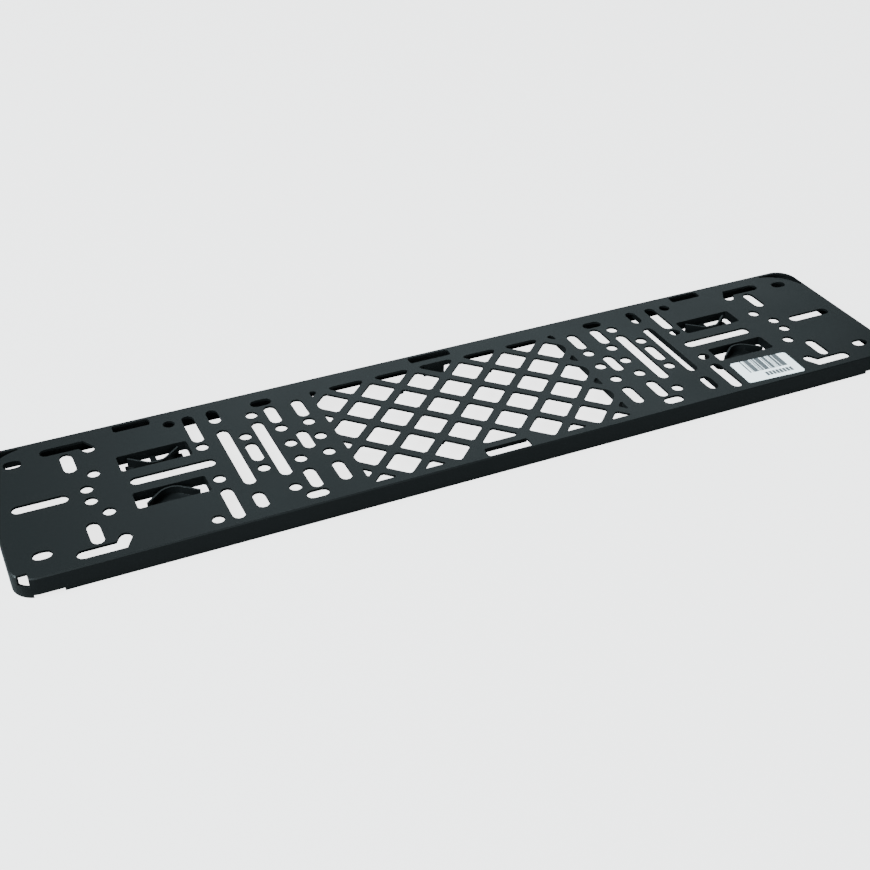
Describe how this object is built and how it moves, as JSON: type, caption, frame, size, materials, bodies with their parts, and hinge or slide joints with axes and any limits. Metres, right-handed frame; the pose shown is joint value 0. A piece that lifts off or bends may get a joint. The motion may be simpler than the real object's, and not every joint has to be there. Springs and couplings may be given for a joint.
{
  "type": "number plate holder",
  "caption": "Long flat moulded tray that carries a number plate on a car, with a diamond lattice, rows of screw holes and slots, clip windows and a shallow skirt.",
  "frame": {"origin": "centre of the tray's outline in the plane of the skirt's lower rim", "axes": "+X along the plate, +Y from the front edge to the rear edge, +Z out of the face"},
  "size_m": [0.52, 0.113, 0.0115],
  "materials": {
    "black_plastic": "satin moulded black with a fine grain",
    "label_paper": "smooth coated white paper"
  },
  "bodies": {
    "root": {"holder": "black_plastic", "barcode_label": "label_paper"}
  },
  "joints": []
}
